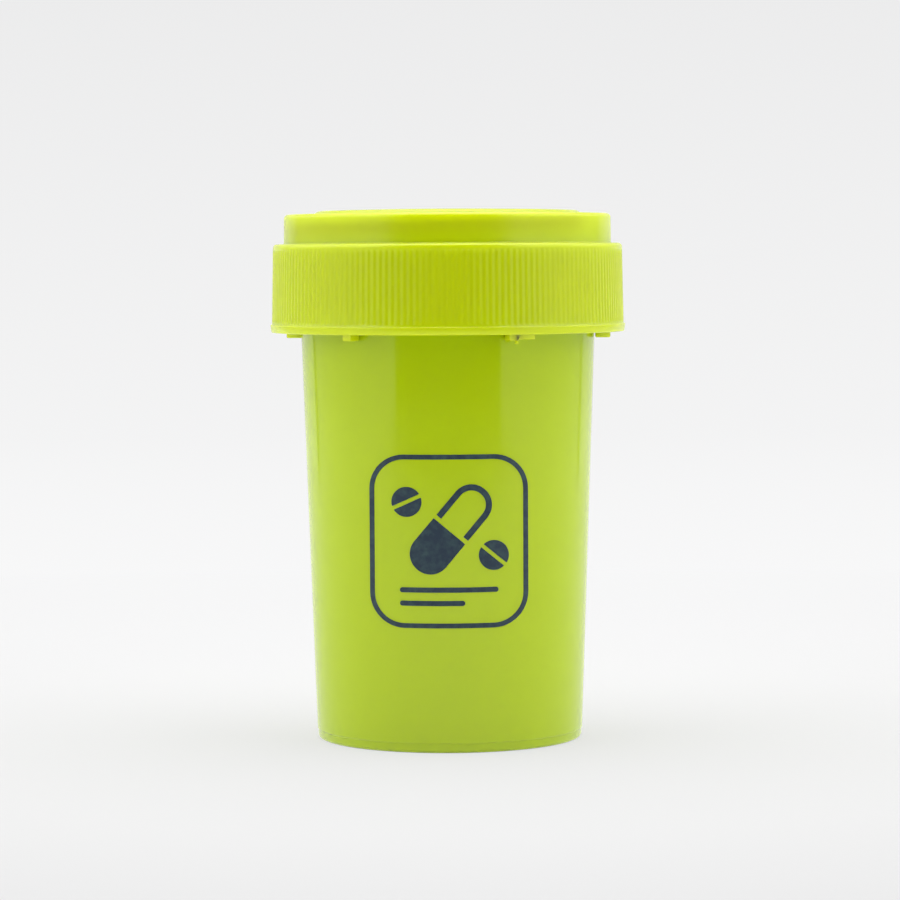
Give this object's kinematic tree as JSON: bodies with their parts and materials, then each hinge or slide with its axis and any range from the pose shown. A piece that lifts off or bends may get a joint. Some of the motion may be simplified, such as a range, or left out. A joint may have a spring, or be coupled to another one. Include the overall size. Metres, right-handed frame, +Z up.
{
  "type": "pill vial with reversible cap",
  "caption": "Tapered opaque pill vial with a ribbed press-and-turn cap that also works turned over.",
  "frame": {"origin": "centre of the foot ring, on the surface the vial stands on", "axes": "+Z up along the vial's axis, -Y towards the printed front"},
  "size_m": [0.0574, 0.0572, 0.0855],
  "materials": {
    "vial_plastic": "lime green moulded polypropylene, satin gloss",
    "cap_plastic": "yellower lime green moulded polypropylene, satin gloss",
    "front_print": "dark navy ink printed on the vial's front"
  },
  "bodies": {
    "vial": {"vial": "vial_plastic"},
    "cap": {"cap": "cap_plastic"}
  },
  "joints": [
    {"name": "cap_lift", "type": "slide", "parent": "vial", "child": "cap", "axis": [0, 0, 1], "range_m": [0, 0.045]}
  ]
}
